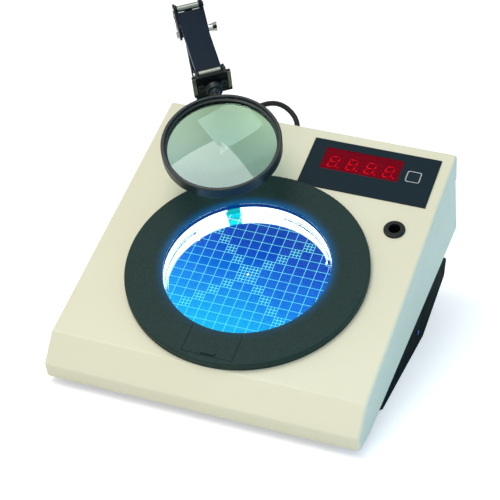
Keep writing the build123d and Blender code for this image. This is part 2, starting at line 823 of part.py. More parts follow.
# Swivel: the post, its disc and the two cheeks of the arm's foot
disc_radius = 14.0
disc_thick = 5.7
disc_top = socket_top + fit + disc_thick
with BuildPart() as arm_swivel:
    with BuildSketch(post_plane.offset(fit)):
        Circle(disc_radius)
    extrude(amount=disc_thick)
    chamfer(arm_swivel.edges().filter_by(GeomType.CIRCLE), length=0.8)
    with BuildSketch(post_plane.offset(fit)):
        Circle(post_radius)
    extrude(amount=-(socket_length + 2 * fit))
    with BuildSketch(post_plane.offset(-socket_length - fit)):
        Circle(post_radius + 2.5)
    extrude(amount=-4.0)
    for half in (-1, 1):
        near_cheek = half * (base_half + base_cheek / 2)
        with BuildSketch(arm.offset(near_cheek)):
            with Locations(base_pin, base_pair):
                Circle(6)
            with Locations((-1, disc_top - 1)):
                Rectangle(17, 2)
            make_hull()
            with Locations(base_pin, base_pair):
                Circle(hole_radius, mode=Mode.SUBTRACT)
        extrude(amount=base_cheek / 2, both=True)
save(arm_swivel, "arm_swivel")


def pins(places, half, head=2.6, stand=1.0):
    """Pins across the arm from cheek to cheek, with a head at each end."""
    with BuildPart() as piece:
        with BuildSketch(arm):
            with Locations(*places):
                Circle(pin_radius)
        extrude(amount=half + stand / 2, both=True)
        for end in (-1, 1):
            with BuildSketch(arm.offset(end * half)):
                with Locations(*places):
                    Circle(head)
            extrude(amount=end * stand)
    return piece


save(pins([base_pin, base_pair], base_half + base_cheek), "foot_pins")


def link_plane(start, turn, front):
    """A side-view plane along a link; front is the side its web is on."""
    along = arm.x_dir * cos(radians(turn)) + arm.y_dir * sin(radians(turn))
    return Plane(origin=at_arm(*start), x_dir=along, z_dir=across_arm * front)


channel_eye = 4.5
neck_half = 3.9
neck_long = 9.0
open_clear = 0.2


def channel(plane, length, half):
    """Folded channel of a link: two flanges with eyes and the web over them."""
    taper = flange_reach + 2
    with BuildPart() as piece:
        with BuildSketch(plane):
            with Locations((0, 0), (length, 0)):
                Circle(channel_eye)
            with BuildLine():
                Polyline((0, channel_eye), (web_gap, web_stand), (length - web_gap, web_stand), (length, channel_eye),
                         (length, -neck_half), (length - neck_long, -neck_half),
                         (length - neck_long - taper, -flange_reach), (taper, -flange_reach), (0, -channel_eye),
                         close=True)
            make_face()
            with Locations((0, 0), (length, 0)):
                Circle(hole_radius, mode=Mode.SUBTRACT)
        extrude(amount=half, both=True)
        with BuildSketch(plane):
            with Locations((length / 2, 0)):
                Rectangle(2 * length, 4 * flange_reach)
            with Locations((length / 2, web_stand - channel_wall / 2)):
                Rectangle(length - 2 * web_gap, channel_wall, mode=Mode.SUBTRACT)
        extrude(amount=half - channel_wall, both=True, mode=Mode.SUBTRACT)
    return piece


def rod(plane, length):
    """Flat parallel rod of a link with an eye at each end."""
    with BuildPart() as piece:
        with BuildSketch(plane):
            with Locations((0, 0), (length, 0)):
                Circle(eye_radius)
            with Locations((length / 2, 0)):
                Rectangle(length, rod_thick)
            with Locations((0, 0)):
                Circle(hole_radius, mode=Mode.SUBTRACT)
            with Locations((length, 0)):
                Circle(pin_radius + open_clear, mode=Mode.SUBTRACT)
        extrude(amount=rod_width / 2, both=True)
    return piece


lower_plane = link_plane(base_pin, lower_angle, -1)
upper_plane = link_plane(top_pin, upper_angle, 1)
save(channel(lower_plane, lower_length, lower_half), "lower_channel")
save(rod(link_plane(base_pair, lower_angle, -1), lower_length), "lower_rod")

# Elbow: two cheeks that stay level, their pins, and spacers at the lower link
with BuildPart() as elbow_cheeks:
    for half in (-1, 1):
        with BuildSketch(arm.offset(half * (cheek_half + cheek_thick / 2))):
            with Locations(elbow_pin, elbow_pair, top_pin, top_pair):
                Circle(6)
            make_hull()
            with Locations(elbow_pin, elbow_pair, top_pin, top_pair):
                Circle(hole_radius, mode=Mode.SUBTRACT)
        extrude(amount=cheek_thick / 2, both=True)
save(elbow_cheeks, "elbow_cheeks")

with BuildPart() as elbow_pins:
    add(pins([elbow_pair, top_pin, top_pair], cheek_out).part)
    with BuildSketch(arm):
        with Locations(elbow_pin):
            Circle(pin_radius)
    extrude(amount=cheek_out + 1, both=True)
    with BuildSketch(arm.offset(cheek_out)):
        with Locations(elbow_pin):
            RegularPolygon(3.4, 6)
    extrude(amount=2.6)
    with BuildSketch(arm.offset(-cheek_out)):
        with Locations(elbow_pin):
            Circle(pin_radius)
    extrude(amount=-9.0)
save(elbow_pins, "elbow_pins")

with BuildPart() as elbow_spacers:
    for half in (-1, 1):
        with BuildSketch(arm.offset(half * base_half)):
            with Locations(elbow_pin, elbow_pair):
                Circle(channel_eye - 0.9)
                Circle(hole_radius, mode=Mode.SUBTRACT)
        extrude(amount=half * (cheek_half - base_half))
save(elbow_spacers, "elbow_spacers")

nut_plane = arm.offset(-cheek_out - running)
wing_side = Plane(origin=at_arm(*elbow_pin, -cheek_out), x_dir=-across_arm, z_dir=ahead)
with BuildPart() as wing_nut:
    with BuildSketch(nut_plane):
        with Locations(elbow_pin):
            Circle(3.5)
    extrude(amount=-4.5)
    for half in (-1, 1):
        with BuildSketch(wing_side):
            with BuildLine():
                Polyline((1.0, half * 1.0), (1.0, half * 3.2), (wing_reach - 1.2, half * 5.8),
                         (wing_reach, half * 4.6), (wing_reach - 0.8, half * 3.2), (4.5, half * 1.0), close=True)
            make_face()
        extrude(amount=wing_thick / 2, both=True)
    with BuildSketch(nut_plane):
        with Locations(elbow_pin):
            Circle(hole_radius)
    extrude(amount=-2 * wing_reach, both=True, mode=Mode.SUBTRACT)
save(wing_nut, "wing_nut")

save(channel(upper_plane, upper_length, upper_half), "upper_channel")
save(rod(link_plane(top_pair, upper_angle, 1), upper_length), "upper_rod")


def roller(place):
    """Bright tube on a pin between the flanges of the upper link."""
    with BuildPart() as piece:
        with BuildSketch(arm):
            with Locations(place):
                Circle(roller_radius)
                Circle(hole_radius, mode=Mode.SUBTRACT)
        extrude(amount=upper_half - channel_wall - fit, both=True)
    return piece


save(roller(top_pin), "elbow_roller")
save(roller(head_pin), "head_roller")

# Head: a plate and two cheeks that carry the ball's cup
plate_near = head_pin[0] + head_plate_gap
plate_far = plate_near + head_plate_thick
plate_low = head_pin[1] - head_plate_drop
plate_high = head_pin[1] - head_plate_top
spigot = 3.0
with BuildPart() as head_bracket:
    with BuildSketch(arm):
        with Locations(((plate_near + plate_far) / 2, (plate_low + plate_high) / 2)):
            Rectangle(head_plate_thick, plate_high - plate_low)
    extrude(amount=head_plate_width / 2, both=True)
    for half in (-1, 1):
        with BuildSketch(arm.offset(half * (cheek_half + cheek_thick / 2))):
            with Locations(head_pin, head_pair):
                Circle(5)
            with Locations((plate_far - 1, (plate_high + ball[1]) / 2)):
                Rectangle(2, plate_high - ball[1])
            with Locations((plate_far - 1, ball[1] - 4)):
                Rectangle(2, 8)
            make_hull()
            with Locations(head_pin, head_pair):
                Circle(hole_radius, mode=Mode.SUBTRACT)
        extrude(amount=cheek_thick / 2, both=True)
    with BuildSketch(Plane(origin=at_arm(plate_near, ball[1]), x_dir=across_arm, z_dir=ahead)):
        Circle(spigot + running)
    extrude(amount=3 * head_plate_thick, both=True, mode=Mode.SUBTRACT)
save(head_bracket, "head_bracket")

save(pins([head_pin, head_pair], cheek_out), "head_pins")

plate_face = Plane(origin=at_arm(plate_far, plate_high), x_dir=-across_arm, z_dir=ahead)
screw_side = 11.2
screw_below = 12.4
with BuildPart() as head_screws:
    with BuildSketch(plate_face):
        with Locations((-screw_side, -screw_below), (screw_side, -screw_below)):
            Circle(3.8)
    extrude(amount=2.0)
    with BuildSketch(plate_face.offset(2.0)):
        with Locations((-screw_side, -screw_below), (screw_side, -screw_below)):
            RegularPolygon(1.5, 6)
    extrude(amount=-1.2, mode=Mode.SUBTRACT)
save(head_screws, "head_screws")

rail_tall = 20.0
rail_wide = 3.4
with BuildPart() as head_rails:
    with BuildSketch(plate_face):
        with Locations(*[(half * (head_plate_width - rail_wide) / 2, -rail_tall / 2) for half in (-1, 1)]):
            Rectangle(rail_wide, rail_tall)
    extrude(amount=0.8)
save(head_rails, "head_rails")

# Cup: holds the lens's ball and turns in the head's plate
ball_clear = 0.1
cup_near = plate_far + fit
cup_far = ball[0] + 1.5
cup_axis = Axis(at_arm(0, ball[1]), ahead)
with BuildPart() as ball_cup:
    with BuildSketch(arm):
        with BuildLine():
            Polyline((plate_near + fit, ball[1]), (plate_near + fit, ball[1] + spigot),
                     (cup_near, ball[1] + spigot), (cup_near, ball[1] + cup_radius - 2.5),
                     (cup_near + 3, ball[1] + cup_radius), (cup_far, ball[1] + cup_radius - 0.8),
                     (cup_far, ball[1]), close=True)
        make_face()
    revolve(axis=cup_axis)
    with Locations(at_arm(*ball)):
        Sphere(ball_radius + ball_clear, mode=Mode.SUBTRACT)
save(ball_cup, "ball_cup")

# Lens: ball and stem, frame, glass and retaining ring
aim = radians(arm_turn + lens_turn)
level_aim = deck.x_dir * sin(aim) - side.x_dir * cos(aim)
lens_aim = level_aim * cos(radians(lens_tilt)) + deck.z_dir * sin(radians(lens_tilt))
lens_up = deck.z_dir * cos(radians(lens_tilt)) - level_aim * sin(radians(lens_tilt))
ball_point = at_arm(*ball)
lens_point = ball_point + lens_aim * lens_reach
lens_cut = Plane(origin=lens_point, x_dir=lens_aim, z_dir=lens_aim.cross(lens_up))
lens_axis = Axis(lens_point, lens_up)
stem_radius = 3.0
glass_radius = frame_radius - frame_wall
lip_radius = glass_radius - frame_lip
glass_low = -frame_below + 1.5
with BuildPart() as ball_stem:
    with Locations(ball_point):
        Sphere(ball_radius)
    with BuildSketch(Plane(origin=ball_point, z_dir=lens_aim)):
        Circle(stem_radius)
    extrude(amount=lens_reach - glass_radius - 1)
save(ball_stem, "ball_stem")

with BuildPart() as lens_frame:
    with BuildSketch(lens_cut):
        with BuildLine():
            Polyline((lip_radius, -frame_below), (frame_radius, -frame_below), (frame_radius, frame_above),
                     (glass_radius, frame_above), (glass_radius, glass_low), (lip_radius, glass_low), close=True)
        make_face()
    revolve(axis=lens_axis)
    rims = lens_frame.edges().filter_by(GeomType.CIRCLE).group_by(SortBy.RADIUS)[-1]
    fillet(rims, radius=1.0)
    with BuildSketch(Plane(origin=ball_point, z_dir=lens_aim)):
        Circle(stem_radius + running)
    extrude(amount=lens_reach - lip_radius - 1, mode=Mode.SUBTRACT)
save(lens_frame, "lens_frame")

pane_low = glass_low + 2 * fit
pane_high = pane_low + glass_edge
pane_radius = glass_radius - running
pane_curve = (pane_radius**2 + lens_dish**2) / (2 * lens_dish)
half_out = pane_radius / 2
half_rise = lens_dish - pane_curve + sqrt(pane_curve**2 - half_out**2)
with BuildPart() as lens_glass:
    with BuildSketch(lens_cut):
        with BuildLine():
            Line((pane_radius, pane_low), (pane_radius, pane_high))
            ThreePointArc((pane_radius, pane_high), (half_out, pane_high + half_rise), (0, pane_high + lens_dish))
            Line((0, pane_high + lens_dish), (0, pane_low - lens_dish))
            ThreePointArc((0, pane_low - lens_dish), (half_out, pane_low - half_rise), (pane_radius, pane_low))
        make_face()
    revolve(axis=lens_axis)
save(lens_glass, "lens_glass")

ring_low = pane_high + 2 * fit
with BuildPart() as retaining_ring:
    with BuildSketch(lens_cut):
        with BuildLine():
            Polyline((glass_radius - 2, ring_low), (pane_radius, ring_low), (pane_radius, ring_low + 2.0),
                     (glass_radius - 2, ring_low + 1.2), close=True)
        make_face()
    revolve(axis=lens_axis)
save(retaining_ring, "retaining_ring")

# Mains lead: one bent tube, the put-away coil behind the case, and the plug
cord_start = gland_plane.origin + gland_plane.z_dir * (gland_length - 4)
cord_points = [tuple(cord_start)] + cord_route
bends = []
for before, here, after in zip(cord_points, cord_points[1:], cord_points[2:]):
    run_in = Vector(*here) - Vector(*before)
    run_out = Vector(*after) - Vector(*here)
    half_turn = radians(run_in.get_angle(run_out)) / 2
    bends.append(round(0.45 * min(run_in.length, run_out.length) / tan(half_turn), 1))
print("lead bends", bends)
with BuildPart() as mains_cord:
    with BuildLine() as cord_wire:
        cord_line = FilletPolyline(*cord_points, radius=bends)
    with BuildSketch(Plane(origin=cord_line @ 0, z_dir=cord_line % 0)):
        Circle(cord_radius)
    sweep()
print("lead volume", mains_cord.part.volume, "expected", pi * cord_radius**2 * cord_line.length)
save(mains_cord, "mains_cord")

with BuildPart() as cord_coil:
    with BuildSketch(Plane.XY):
        with Locations((coil_x, coil_y)):
            Circle(coil_radius + coil_across / 2)
            Circle(coil_radius - coil_across / 2, mode=Mode.SUBTRACT)
    extrude(amount=coil_high)
    fillet(cord_coil.edges().filter_by(GeomType.CIRCLE), radius=5)
save(cord_coil, "cord_coil")

# Two-pin plug lying beside the coil
plug_long = 42.0
plug_wide = 27.0
plug_tall = 14.0
plug_x = coil_x + coil_radius + (coil_across + plug_wide) / 2
plug_y = coil_y + 13.0
pin_apart = 19.0
pin_long = 19.0
plug_end = Plane(origin=(plug_x, plug_y + plug_long / 2, plug_tall / 2), x_dir=(1, 0, 0), z_dir=(0, 1, 0))
with BuildPart() as mains_plug:
    with BuildSketch(Plane.XY):
        with Locations((plug_x, plug_y)):
            RectangleRounded(plug_wide, plug_long, 5)
    extrude(amount=plug_tall)
    fillet(mains_plug.faces().filter_by(Axis.Z).edges(), radius=3)
    with BuildSketch(plug_end.offset(-1)):
        with Locations((-pin_apart / 2, 0), (pin_apart / 2, 0)):
            Circle(2.4)
    extrude(amount=pin_long + 1)
save(mains_plug, "mains_plug")
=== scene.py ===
# %% [markdown]
# # A colony counter, dressed for its portrait
# The counter's solids come from CAD as a fixed frame. This script gives each of them a finish, adds the
# thin things that solids leave out (grid lines, glowing digits, a printed border, the bore's lip and the
# lead), and sets up the camera, the lamps and a pale floor.

# %% Load the frame
from math import cos, pi, radians, sin

import bmesh
import bpy
from mathutils import Matrix, Vector


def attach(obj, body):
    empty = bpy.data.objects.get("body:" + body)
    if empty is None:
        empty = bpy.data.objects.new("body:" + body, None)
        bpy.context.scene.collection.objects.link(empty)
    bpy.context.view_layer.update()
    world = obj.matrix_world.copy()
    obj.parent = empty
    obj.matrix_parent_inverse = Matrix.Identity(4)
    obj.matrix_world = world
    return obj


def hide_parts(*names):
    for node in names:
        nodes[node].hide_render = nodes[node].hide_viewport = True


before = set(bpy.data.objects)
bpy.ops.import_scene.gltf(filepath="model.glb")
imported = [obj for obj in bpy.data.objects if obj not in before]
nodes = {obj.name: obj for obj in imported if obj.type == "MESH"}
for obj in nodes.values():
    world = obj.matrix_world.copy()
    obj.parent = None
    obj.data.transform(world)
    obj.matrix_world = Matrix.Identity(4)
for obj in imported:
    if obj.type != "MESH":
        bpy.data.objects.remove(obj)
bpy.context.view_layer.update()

# %% [markdown]
# ## The deck's own coordinates
# The top of the case slopes, and everything on it is easier to place along the slope. `deck` turns a
# point given along the slope, measured from the middle of the stage, into the row's frame.

# %% Deck coordinates
MM = 0.001
TILT = radians(25)
STAGE_HEIGHT = 97 * MM
deck = Matrix.Translation((0, 0, STAGE_HEIGHT)) @ Matrix.Rotation(TILT, 4, "X")


def on_deck(x, y, z=0.0):
    """A point in millimetres along the slope, as a point of the row's frame in metres."""
    return deck @ (Vector((x, y, z)) * MM)


print("middle of the stage", on_deck(0, 0))

# %% [markdown]
# ## The camera
# The stage's grid has 10 mm squares, and its crossings in the photograph fix where the camera stood and
# how long its lens was. The place and the directions below are in the deck's coordinates.

# %% Camera
FOCAL_PIXELS = 1580.77
FRAME_PIXELS = 500
SENSOR = 36.0
eye = on_deck(400.757, -838.151, 1114.590)
turned = deck.to_3x3()
look = (turned @ Vector((-0.27721, 0.58780, -0.76003))).normalized()
upward = (turned @ Vector((-0.19976, 0.73848, 0.64400))).normalized()
rightward = look.cross(upward).normalized()
upward = rightward.cross(look)
camera = bpy.data.objects.new("portrait_camera", bpy.data.cameras.new("portrait_camera"))
bpy.context.scene.collection.objects.link(camera)
camera.data.sensor_width = SENSOR
camera.data.lens = FOCAL_PIXELS / FRAME_PIXELS * SENSOR
camera.data.clip_end = 20.0
axes = Matrix((rightward, upward, -look)).transposed().to_4x4()
camera.matrix_world = Matrix.Translation(eye) @ axes
bpy.context.scene.camera = camera
print("camera", eye, "lens", round(camera.data.lens, 1))

# %% [markdown]
# ## Finishes as Python sums
# A finish here is a Principled shader with a few procedural nodes before it. `Value` wraps a node's
# output so that masks and noises can be added and multiplied as numbers are, and `Nodes.node` makes any
# other node from its type, its settings and its inputs. The studio's sky is made with the same helpers.

# %% Shader helpers


class Value:
    """A node's output that takes part in Python sums by adding Math nodes."""

    def __init__(self, owner, socket):
        self.owner = owner
        self.socket = socket

    def _sum(self, operation, first, second):
        return self.owner.node("ShaderNodeMath", {"operation": operation}, {0: first, 1: second})

    def __add__(self, other):
        return self._sum("ADD", self, other)

    def __radd__(self, other):
        return self._sum("ADD", other, self)

    def __sub__(self, other):
        return self._sum("SUBTRACT", self, other)

    def __rsub__(self, other):
        return self._sum("SUBTRACT", other, self)

    def __mul__(self, other):
        return self._sum("MULTIPLY", self, other)

    def __rmul__(self, other):
        return self._sum("MULTIPLY", other, self)

    def __gt__(self, other):
        return self._sum("GREATER_THAN", self, other)

    def along(self, axis):
        """One of the numbers X, Y and Z of a place."""
        return self.owner.node("ShaderNodeSeparateXYZ", None, {0: self}, out=axis)

    def length(self):
        return self.owner.node("ShaderNodeVectorMath", {"operation": "LENGTH"}, {0: self}, out="Value")

    def dot(self, direction):
        return self.owner.node("ShaderNodeVectorMath", {"operation": "DOT_PRODUCT"},
                               {0: self, 1: direction}, out="Value")


class Nodes:
    """A node tree, and short ways to add to it."""

    MIX_SHARE, MIX_FIRST, MIX_SECOND, MIX_RESULT = 0, 6, 7, 2

    def __init__(self, tree):
        self.tree = tree

    def node(self, kind, settings=None, inputs=None, out=0):
        """Makes a node, sets it, feeds its sockets, and gives one of its outputs."""
        made = self.tree.nodes.new(kind)
        for label, value in (settings or {}).items():
            if label == "stops":
                self.set_stops(made.color_ramp.elements, value)
            else:
                setattr(made, label, value)
        for label, value in (inputs or {}).items():
            self.link(made.inputs[label], value)
        return Value(self, made.outputs[out])

    def link(self, socket, value):
        if isinstance(value, Value):
            self.tree.links.new(value.socket, socket)
        else:
            socket.default_value = value

    def spread(self, value, low, high, to_low, to_high):
        """A value from one range carried to another, and held at its ends."""
        return self.node("ShaderNodeMapRange", None, {"Value": value, "From Min": low, "From Max": high,
                                                      "To Min": to_low, "To Max": to_high})

    def tint(self, share, first, second):
        """A colour between two, by a share from 0 to 1."""
        first, second = ((*c, 1) if isinstance(c, tuple) else c for c in (first, second))
        return self.node("ShaderNodeMix", {"data_type": "RGBA"},
                         {self.MIX_SHARE: share, self.MIX_FIRST: first, self.MIX_SECOND: second},
                         out=self.MIX_RESULT)

    def set_stops(self, ramp, stops):
        """Gives a ramp its stops, each a place from 0 to 1 and a colour."""
        while len(ramp) < len(stops):
            ramp.new(0.5)
        for element, (place, colour) in zip(ramp, stops):
            element.position = place
            element.color = (*colour, 1)


class Finish(Nodes):
    """A material and the nodes that lead up to its Principled shader."""

    NOISE_RANGE = (0.3, 0.7)
    GLASS_RANGE = (0.4, 0.8)
    TONE_RANGE = (0.35, 0.65)

    def __init__(self, name, colour, roughness=0.5, **fixed):
        self.material = bpy.data.materials.new(name)
        self.material.use_nodes = True
        super().__init__(self.material.node_tree)
        self.shader = self.tree.nodes["Principled BSDF"]
        self.shader.inputs["Base Color"].default_value = (*colour, 1)
        self.shader.inputs["Roughness"].default_value = roughness
        for label, value in fixed.items():
            self.shader.inputs[label.replace("_", " ")].default_value = value

    def feed(self, label, value):
        """Sets or links an input of the shader."""
        self.link(self.shader.inputs[label], value)
        return self

    def glow(self, colour, strength):
        """Light of its own, in one colour or in a varying one."""
        colour = (*colour, 1) if isinstance(colour, tuple) else colour
        return self.feed("Emission Color", colour).feed("Emission Strength", strength)

    def place(self):
        """Object coordinates, which are the row's frame in metres."""
        return self.node("ShaderNodeTexCoord", out="Object")

    def deck_place(self):
        """The same turned so that X and Y run along the sloping deck."""
        back = deck.inverted()
        return self.node("ShaderNodeMapping", None,
                         {"Vector": self.place(), "Location": back.translation, "Rotation": (-TILT, 0, 0)})

    def flat_place(self, x=0.0, y=0.0):
        """The place on the deck, without its height, from a point in millimetres."""
        level = self.node("ShaderNodeVectorMath", {"operation": "MULTIPLY"},
                          {0: self.deck_place(), 1: (1, 1, 0)})
        return self.node("ShaderNodeVectorMath", {"operation": "SUBTRACT"},
                         {0: level, 1: (x * MM, y * MM, 0)})

    def noise(self, per_metre, detail=2.0):
        """A noise from 0 to 1 with so many waves in a metre."""
        return self.node("ShaderNodeTexNoise", None,
                         {"Vector": self.place(), "Scale": per_metre, "Detail": detail}, out="Fac")

    def mottle(self, noise, first, second):
        """A colour that drifts between two, by a noise."""
        return self.tint(self.spread(noise, *self.TONE_RANGE, 0, 1), first, second)

    def wear(self, per_metre, smooth, rough, detail=2.0, noise_range=NOISE_RANGE):
        """A roughness that drifts between two values, at a noise's scale."""
        drift = self.noise(per_metre, detail)
        return self.feed("Roughness", self.spread(drift, *noise_range, smooth, rough))

    def grain(self, height, depth, strength=1.0):
        """Bump of a given depth in metres."""
        bump = self.node("ShaderNodeBump", None,
                         {"Height": height, "Distance": depth, "Strength": strength}, out="Normal")
        return self.feed("Normal", bump)


def dress(finish, *names):
    """Gives a finish to CAD nodes and says which."""
    for name in names:
        slots = nodes[name].data.materials
        slots.clear()
        slots.append(finish.material)
    print(finish.material.name, "on", ", ".join(names))


# %% [markdown]
# ## Pieces made here
# A piece is shaped in a bmesh, in the row's frame, so its object stays at the origin. It then rides on
# the CAD body that carries it.

# %% Piece helper


def piece(name, shape, body, finish):
    """Makes an object of a bmesh and lets it ride on a body."""
    bmesh.ops.recalc_face_normals(shape, faces=shape.faces)
    mesh = bpy.data.meshes.new(name)
    shape.to_mesh(mesh)
    shape.free()
    made = bpy.data.objects.new(name, mesh)
    bpy.context.scene.collection.objects.link(made)
    mesh.materials.append(finish.material)
    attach(made, body)
    print("made", name, len(mesh.polygons), "faces")
    return made


def spot(x, y, z):
    """The deck's own axes, moved to a point in millimetres."""
    return deck @ Matrix.Translation(Vector((x, y, z)) * MM)


def slab(shape, x, y, z, across, along, thick):
    """Adds a thin box to a bmesh on the deck; its sizes and middle are in millimetres."""
    stretch = Matrix.Diagonal((across * MM, along * MM, thick * MM, 1))
    bmesh.ops.create_cube(shape, size=1.0, matrix=spot(x, y, z) @ stretch)


# %% [markdown]
# ## The mains lead
# A black round lead of 5.5 mm leaves the gland in the back, arches up a little and drops to the bench.
# Only the arch shows over the case. The rest lies wound up close behind, with its plug beside it. One
# NURBS spline carries it all: the points that the CAD tube has, then a loop that lays the turns.

# %% Lead
CORD_RADIUS = 2.75 * MM
lead_points = [
    (-26.0, 203.9, 142.4), (-26.0, 229.3, 154.2), (-55.0, 248.5, 168.0), (-88.0, 263.0, 153.0),
    (-112.0, 270.0, 120.0), (-121.0, 272.0, 80.0), (-121.0, 276.0, 44.0), (-117.0, 290.0, 20.0),
    (-100.0, 309.0, 9.0),
]
COIL_MIDDLE = (-45.0, 345.0)
TURN_PLACES = [(35.5, 8.25), (35.5, 2.8), (30.0, 2.8), (24.5, 2.8), (24.5, 8.25), (30.0, 8.25), (24.5, 13.7),
               (30.0, 13.7), (35.5, 13.7)]
STEPS = 16
STEPS_TO_NEXT = 4
LAST_STEPS = 3
FIRST_ANGLE = 222.0
for turn, (reach, height) in enumerate(TURN_PLACES):
    last = turn == len(TURN_PLACES) - 1
    next_reach, next_height = (reach, height) if last else TURN_PLACES[turn + 1]
    for step in range(LAST_STEPS if last else STEPS):
        share = max(0.0, (step - STEPS + STEPS_TO_NEXT) / STEPS_TO_NEXT)
        angle = radians(FIRST_ANGLE + 360 * step / STEPS)
        r = reach + (next_reach - reach) * share
        z = height + (next_height - height) * share
        lead_points.append((COIL_MIDDLE[0] + r * cos(angle), COIL_MIDDLE[1] + r * sin(angle), z))
lead_points += [(-31.0, 310.0, 12.6), (-17.2, 312.6, 10.2)]
PLUG_IN = (6.75, 337.0, 7.0)
PLUG_TURN = 24.5
DEGREES_A_MM = 24
for angle in (-60, -36, -12):
    lead_points.append((PLUG_IN[0] - PLUG_TURN + PLUG_TURN * cos(radians(angle)),
                        PLUG_IN[1] + PLUG_TURN * sin(radians(angle)), PLUG_IN[2] - angle / DEGREES_A_MM))
lead_points += [PLUG_IN, (6.75, 341.0, 7.0)]
lead_curve = bpy.data.curves.new("mains_lead", "CURVE")
lead_curve.dimensions = "3D"
lead_curve.bevel_depth = 1.0
lead_curve.bevel_resolution = 4
lead_curve.resolution_u = 6
lead_curve.use_fill_caps = True
line = lead_curve.splines.new("NURBS")
line.points.add(len(lead_points) - 1)
for point, (x, y, z) in zip(line.points, lead_points):
    point.co = (x * MM, y * MM, z * MM, 1)
    point.radius = CORD_RADIUS
line.order_u = 3
line.use_endpoint_u = True
lead = bpy.data.objects.new("mains_lead", lead_curve)
bpy.context.scene.collection.objects.link(lead)
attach(lead, "case")
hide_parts("mains_cord", "cord_coil")
probe_curve = lead_curve.copy()
probe_curve.bevel_depth = 0
probe = bpy.data.objects.new("probe", probe_curve)
centre_line = bpy.data.meshes.new_from_object(probe)
bpy.data.objects.remove(probe)
bpy.data.curves.remove(probe_curve)
bpy.data.meshes.remove(centre_line)
[c * MM for c in lead_points[0]]

rubber_sheath = Finish("rubber_sheath", (0.006, 0.007, 0.009), 0.42, Specular_IOR_Level=0.3)
rubber_sheath.grain(rubber_sheath.noise(2500), depth=0.00005)
lead_curve.materials.append(rubber_sheath.material)

# %% [markdown]
# ## The painted cover
# The case is folded sheet under a warm cream paint. Sprayed paint is never glassy: it has a fine orange
# peel, and its tone drifts a little over a large face. Three noises do that, from very large to fine.

# %% Cover paint
cream = Finish("cream_paint", (0.79, 0.75, 0.55), 0.42, Coat_Weight=0.08)
cream.feed("Base Color", cream.mottle(cream.noise(6, detail=1.0), (0.77, 0.735, 0.53), (0.81, 0.77, 0.57)))
cream.wear(per_metre=40, smooth=0.38, rough=0.48)
cream.grain(cream.noise(900, detail=1.0), depth=0.00006, strength=0.6)
dress(cream, "cover")

# %% [markdown]
# ## Black powder coat and black mouldings
# The tray below and the back are black sheet, and the arm is enamelled a blue black. The stage ring is
# moulded, with a dull fine grain. Next to the well, most of all behind it, the lamp's blue light on the ring
# is painted into its colour and its glow.

# %% Black finishes
coated_black = Finish("coated_black", (0.002, 0.009, 0.007), 0.6, Specular_IOR_Level=0.02)
coated_black.wear(per_metre=60, smooth=0.52, rough=0.66)
coated_black.grain(coated_black.noise(1400, detail=1.0), depth=0.00006, strength=0.6)
dress(coated_black, "base_box", "rear_panel", "bottom_plate")

ring_black = Finish("ring_black", (0.02, 0.037, 0.044), 0.55, Specular_IOR_Level=0.25)
BORE_EDGE = 77.5
GLOW_END = 89
FRONT_EDGE = -80
FRONT_SHARE = 0.55
# Painted blue lamp light: near the bore, and more behind it, the ring's colour and glow turn blue.
near = ring_black.spread(ring_black.flat_place().length(), BORE_EDGE * MM, GLOW_END * MM, 1, 0)
behind = ring_black.spread(ring_black.flat_place().along("Y"), FRONT_EDGE * MM, 0, FRONT_SHARE, 1)
glow = near * behind
grit = ring_black.noise(1500, detail=3.0)
ring_grey = ring_black.mottle(grit, (0.002, 0.018, 0.014), (0.012, 0.042, 0.036))
ring_black.feed("Base Color", ring_black.tint(glow * glow, ring_grey, (0.0, 0.05, 0.12)))
ring_black.glow(ring_black.tint(glow * glow * glow, (0, 0, 0), (0.0, 0.06, 0.17)), 1.0)
ring_black.grain(grit, depth=0.0001, strength=0.8)
ring_black.wear(per_metre=300, smooth=0.5, rough=0.62)
dress(ring_black, "stage_ring", "ring_lid")

moulded_black = Finish("moulded_black", (0.005, 0.009, 0.008), 0.4, Specular_IOR_Level=0.3)
moulded_black.grain(moulded_black.noise(2200, detail=2.0), depth=0.00006, strength=0.7)
moulded_black.wear(per_metre=200, smooth=0.33, rough=0.45)
dress(moulded_black, "switch_frame", "power_rocker", "fuse_holder", "cord_gland", "pen_rest", "mains_plug")

panel_film = Finish("panel_film", (0.0005, 0.014, 0.022), 0.33, Specular_IOR_Level=0.2)
panel_film.grain(panel_film.noise(3000, detail=1.0), depth=0.00003, strength=0.5)
dress(panel_film, "counter_panel")

arm_enamel = Finish("arm_enamel", (0.0, 0.009, 0.022), 0.32, Specular_IOR_Level=0.15)
arm_enamel.wear(per_metre=80, smooth=0.26, rough=0.42)
arm_enamel.grain(arm_enamel.noise(1100, detail=1.0), depth=0.00005, strength=0.5)
dress(arm_enamel, "arm_socket", "arm_swivel", "lower_channel", "lower_rod", "upper_channel", "upper_rod")

arm_black = Finish("arm_black", (0.003, 0.004, 0.004), 0.38, Specular_IOR_Level=0.25)
arm_black.wear(per_metre=150, smooth=0.3, rough=0.46)
arm_black.grain(arm_black.noise(1500, detail=1.0), depth=0.00004, strength=0.5)
dress(arm_black, "elbow_cheeks", "head_bracket", "elbow_spacers")

soft_black = Finish("soft_black", (0.012, 0.021, 0.02), 0.36, Specular_IOR_Level=0.45)
soft_black.wear(per_metre=150, smooth=0.3, rough=0.46)
soft_black.grain(soft_black.noise(1500, detail=1.0), depth=0.00004, strength=0.5)
dress(soft_black, "ball_cup", "ball_stem", "head_screws", "retaining_ring", "lens_frame")

# %% [markdown]
# ## Bright metal
# Foot pins, screws and the wing nut are plated steel: metallic, with drawn marks that vary the roughness.
# Rollers and rails are duller. The arm's pins have bright nuts on one side and black heads on the other.

